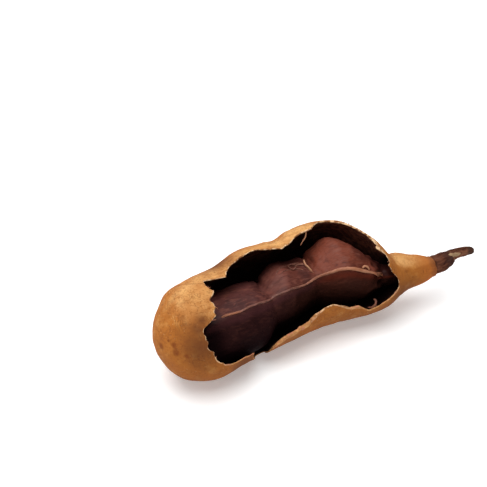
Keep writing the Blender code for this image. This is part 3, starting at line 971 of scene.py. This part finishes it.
string_paint = tough_string()
STRINGS = (                     # route, width, height, share sunk, seed, count, node
    (RIDGE_ROUTE, 0.74, 0.56, 0.25, 61, 420, "ridge_string"),
    (BACK_ROUTE, 0.42, 0.36, 0.20, 65, 160, "back_string"),
    (SIDE_ROUTE, 0.30, 0.26, 0.20, 69, 90, "side_string"),
)
for *numbers, node in STRINGS:
    name = node + "_fibre"
    add_piece(name, string_mesh(name, *numbers), string_paint, "tough_string", node)

# %% [markdown]
# ## Loose ends
#
# When the window was broken out, some strings tore.  One hangs from the far edge, one
# end curls into a ring, and the ridge string's end is frayed where it meets the neck.
# Short hairs of fibre stand out of the torn edge.  Each is a thin tube of the same
# kind as the strings, and all of them go into one mesh.

# %% Torn strands and hairs
def pulp_spot(x, degrees, lift):
    """A point so many millimetres above the finished pulp."""
    spot, up = pulp_surface(np.array([pulp_form.share_at(x)]), np.radians([degrees]))
    return (spot + up * lift)[0]


def strand(knots, width, seed, count=60):
    """A thin tube along the smooth curve through the knots, thinner at both ends."""
    line = smooth_line(knots, count)
    far = np.minimum(np.arange(count), np.arange(count)[::-1]) / count
    thick = width * (0.35 + 0.65 * ease(0.0, 0.12, far)) * (1 + 0.2 * soft_noise(line, 1.5, seed))
    up = np.tile([0.1, -0.4, 0.9], (count, 1))
    rows = tube_rows(line, up, thick, 0.8 * thick, seed=seed, around=14)
    return rows, [line[0], line[-1]]


edge_hold = shell_form.point(shell_form.share_at(5.8), np.radians(74.0))
loose = [                       # how pale each is, and the strand
    (1.15, strand([edge_hold + [0.5, -0.1, -0.3], edge_hold + [0.1, -0.6, -1.6],
                  edge_hold + [-0.9, -0.9, -2.8], edge_hold + [-1.5, -0.7, -4.2]], 0.32, 81)),
    (0.15, strand([pulp_spot(1.6, 93, 0.2), pulp_spot(1.1, 87, 0.4), pulp_spot(0.2, 83, 0.45),
                   pulp_spot(-0.8, 87, 0.4), pulp_spot(-0.8, 94, 0.4), pulp_spot(-0.1, 98, 0.4),
                   pulp_spot(0.9, 95, 0.5), pulp_spot(0.8, 89, 0.3)], 0.27, 82)),
    (0.3, strand([pulp_spot(1.5, 88, 0.2), pulp_spot(2.5, 92, 0.4), pulp_spot(3.6, 97, 0.3)],
                 0.26, 88)),
    (1.2, strand([pulp_spot(4.6, 83, 0.2), pulp_spot(3.9, 92, 0.8), pulp_spot(3.7, 101, 0.9),
                  pulp_spot(4.1, 110, 0.7), pulp_spot(4.8, 118, 0.2)], 0.42, 83)),
    (1.1, strand([pulp_spot(17.6, 137, 0.2), pulp_spot(18.2, 133, 0.5),
                  pulp_spot(19.0, 134, 0.7), pulp_spot(19.4, 139, 0.4)], 0.52, 84)),
    (0.9, strand([pulp_spot(20.3, 145, 0.3), pulp_spot(21.5, 149, 0.7),
                  pulp_spot(22.4, 154, 0.4)], 0.34, 85)),
    (0.7, strand([pulp_spot(20.6, 145, 0.4), pulp_spot(22.4, 142, 0.7),
                  pulp_spot(24.2, 138, 0.3)], 0.30, 86)),
    (0.40, strand(np.array([(20.2, -4.6, 8.8), (20.7, -5.2, 8.4), (20.1, -6.0, 7.9),
                            (18.6, -6.9, 8.0), (17.1, -7.3, 8.9)]) - SHIFT, 0.58, 87)),
]
HAIRS = 34
chance = np.random.default_rng(8)
for place in chance.integers(0, COLUMNS, HAIRS):
    root = torn[1, place] - 0.2 * open_side[place]
    reach = chance.uniform(0.3, 0.9)
    bend = chance.normal(0, 0.25, 3)
    loose.append((0.8, strand([root, root + open_side[place] * reach * 0.5 + bend * 0.3,
                               root + open_side[place] * reach + bend], 0.14,
                              100 + int(place), 8)))
pale_parts = [np.full(len(rows) * rows.shape[1] + 2, pale) for pale, (rows, tips) in loose]
fibre_mesh = closed_mesh("loose_fibres", [body for pale, body in loose],
                         {"pale": np.concatenate(pale_parts)})
add_piece("loose_fibres", fibre_mesh, string_paint, "tough_string")

# %% [markdown]
# ## The stalk
#
# The stalk is woody: a dark collar that caps the neck, a kink, and a thin twig with a
# pale scar where a side shoot broke off.  It is one tube whose radius follows a table,
# with bark ribs along it and lumps where it bends.

# %% Stalk
STALK_POINTS = [                # along X, sideways, height, radius
    (40.35, -1.1, 11.5, 2.45), (40.8, -1.1, 11.5, 2.60), (42.4, -1.0, 11.5, 2.50),
    (44.4, -0.6, 11.75, 2.30), (45.6, -0.1, 11.95, 1.95), (46.6, 0.4, 12.1, 1.60),
    (47.8, 0.6, 12.1, 1.42), (50.0, 0.8, 12.0, 1.28), (52.0, 0.6, 12.0, 1.18),
    (53.2, 0.2, 12.0, 0.95), (53.9, -0.1, 12.0, 0.50),
]
stalk_line = smooth_line(STALK_POINTS, 150)
stalk_path, stalk_radius = stalk_line[:, :3] - SHIFT, stalk_line[:, 3]
stalk_up = np.tile([0.0, 0.0, 1.0], (len(stalk_path), 1))
stalk_rows = tube_rows(stalk_path, stalk_up, 2 * stalk_radius, 2 * stalk_radius,
                       ribs=5, twist=0.35, seed=71, around=120)
bark = (0.16 * soft_noise(stalk_rows * [0.35, 1, 1], 1.1, 72)
        + 0.14 * soft_noise(stalk_rows, 2.2, 73))
stalk_rows = stalk_rows + unit(stalk_rows - stalk_path[:, None]) * bark[..., None]
scar_line = smooth_line([(45.9, -0.8, 13.5), (47.4, -0.9, 13.0), (49.0, -0.7, 12.5)], 40)
from_scar = nearest(stalk_rows, scar_line - SHIFT) * (1 + 0.4 * soft_noise(stalk_rows, 0.8, 74))
stalk_scar = np.exp(-(from_scar / 0.70) ** 4)
stalk_rows = stalk_rows - 0.15 * stalk_scar[..., None] * unit(stalk_rows - stalk_path[:, None])
stalk_mesh = closed_mesh("stalk_twig", [(stalk_rows, [stalk_path[0], stalk_path[-1]])],
                         {"scar": np.append(stalk_scar.ravel(), (0.0, 0.0))})


def stalk_wood():
    paint = Paint("stalk_wood")
    grain = paint.noise(0.6, 31, 3.0, (4.0, 0.8, 0.8))
    patches = paint.noise(2.0, 32, 3.0)
    fine = paint.noise(0.3, 33)
    bark_colour = paint.blend(paint.range(grain, 0.35, 0.65), colour(0.045, 0.012, 0.006),
                              colour(0.120, 0.042, 0.022))
    twig = paint.range(paint.part("X"), 38.0, 42.0)
    along = paint.part("X") + (patches - 0.5) * 2.0
    bend = paint.range(along, 37.6, 38.8) * paint.range(along, 42.0, 40.8)
    bark_colour = paint.coats(
        bark_colour,
        (paint.range(patches, 0.40, 0.62) * twig * 0.7, 0.205, 0.084, 0.044),
        (paint.range(along, 37.6, 35.6) * 0.12, 0.300, 0.115, 0.060),
        # painted shade at the kink between collar and twig
        (bend * 0.65, 0.035, 0.013, 0.010),
        (paint.range(along, 45.8, 47.0) * 0.85, 0.040, 0.019, 0.013),
        (paint.range(paint.layer("scar"), 0.3, 0.7), 0.31, 0.200, 0.108))
    relief = grain * 0.12 + patches * 0.10 + fine * 0.03
    return paint.finish(bark_colour, 0.72 + fine * 0.15, relief, Specular_IOR_Level=0.10)


add_piece("stalk_twig", stalk_mesh, stalk_wood(), "stalk_wood", "stalk")

# %% [markdown]
# ## Floor, light and camera
#
# The pod lies on a plain pale floor under soft studio light: a broad panel almost
# straight above, a weaker one behind, a weaker one still low at the left, and a pale
# room round it.  The floor glows a little near the pod and fully a metre away, so it
# runs out to plain white but still takes a soft shadow.  The room is bright at the
# horizon, where the floor ends, and dim above, so little light falls into the hollow.

# %% Floor and light
def light_panel(name, place, size, watts):
    """A square light that faces the pod."""
    lamp = bpy.data.lights.new(name, "AREA")
    lamp.size, lamp.energy = size, watts
    item = bpy.data.objects.new(name, lamp)
    item.location = place
    item.rotation_euler = Vector(place).to_track_quat("Z", "Y").to_euler()
    bpy.context.scene.collection.objects.link(item)


FLOOR_REACH, FLOOR_DROP = 12.0, 0.0001      # metres out, and just below the pod
corners = [(-1, -1), (1, -1), (1, 1), (-1, 1)]
floor_mesh = bpy.data.meshes.new("floor")
floor_mesh.from_pydata([(x * FLOOR_REACH, y * FLOOR_REACH, -FLOOR_DROP) for x, y in corners],
                       [], [(0, 1, 2, 3)])
floor = bpy.data.objects.new("floor", floor_mesh)
bpy.context.scene.collection.objects.link(floor)
pale = Paint("pale_floor")
away = pale.node("ShaderNodeVectorMath", {"operation": "LENGTH"}, {"Vector": pale.place}, "Value")
glow = pale.blend(pale.range(away, 250.0, 1000.0), colour(0.30, 0.30, 0.30),
                  colour(1.0, 1.0, 1.0))
floor_paint = pale.finish(colour(0.86, 0.86, 0.86), 0.9, 0.0, Specular_IOR_Level=0.0,
                          Emission_Color=glow, Emission_Strength=1.0)
floor_mesh.materials.append(floor_paint)

light_panel("key_panel", (-0.12, 0.02, 0.75), 0.80, 8.0)
light_panel("back_panel", (0.05, 0.55, 0.50), 0.6, 1.6)
light_panel("side_panel", (-0.60, -0.10, 0.32), 0.6, 0.8)
room = bpy.data.worlds.new("pale_room")
room.use_nodes = True
sky = room.node_tree
sky_way = sky.nodes.new("ShaderNodeTexCoord")
sky_split = sky.nodes.new("ShaderNodeSeparateXYZ")
sky_fade = sky.nodes.new("ShaderNodeMapRange")
# The strength falls from 1 to 0.11 between these two heights above the horizon.
for socket, value in (("From Min", 0.06), ("From Max", 0.12), ("To Min", 1.0), ("To Max", 0.11)):
    sky_fade.inputs[socket].default_value = value
sky.links.new(sky_way.outputs["Generated"], sky_split.inputs["Vector"])
sky.links.new(sky_split.outputs["Z"], sky_fade.inputs["Value"])
sky.links.new(sky_fade.outputs["Result"], sky.nodes["Background"].inputs["Strength"])
sky.nodes["Background"].inputs["Color"].default_value = colour(1.0, 1.0, 1.0)
bpy.context.scene.world = room
bpy.context.scene.view_settings.view_transform = "Standard"

# %% Camera
AZIMUTH, ELEVATION = np.radians(-23), np.radians(38)
DISTANCE = 0.402                # metres from the point it turns round
SLIDE_LEFT, SLIDE_UP = 0.01527, 0.01446     # sets the pod low and right of the middle
back = Vector((np.sin(AZIMUTH) * np.cos(ELEVATION), -np.cos(AZIMUTH) * np.cos(ELEVATION),
               np.sin(ELEVATION)))
right = Vector((np.cos(AZIMUTH), np.sin(AZIMUTH), 0.0))
up = back.cross(right)
aim = Vector((-0.0053, -0.0024, 0.0125))
lens = bpy.data.cameras.new("camera")
lens.lens, lens.sensor_width = 110.0, 36.0
lens.clip_start, lens.clip_end = 0.01, 20.0
camera = bpy.data.objects.new("camera", lens)
camera.matrix_world = (Matrix.Translation(aim + back * DISTANCE - right * SLIDE_LEFT
                                          + up * SLIDE_UP)
                       @ Matrix((right, up, back)).transposed().to_4x4())
bpy.context.scene.collection.objects.link(camera)
bpy.context.scene.camera = camera
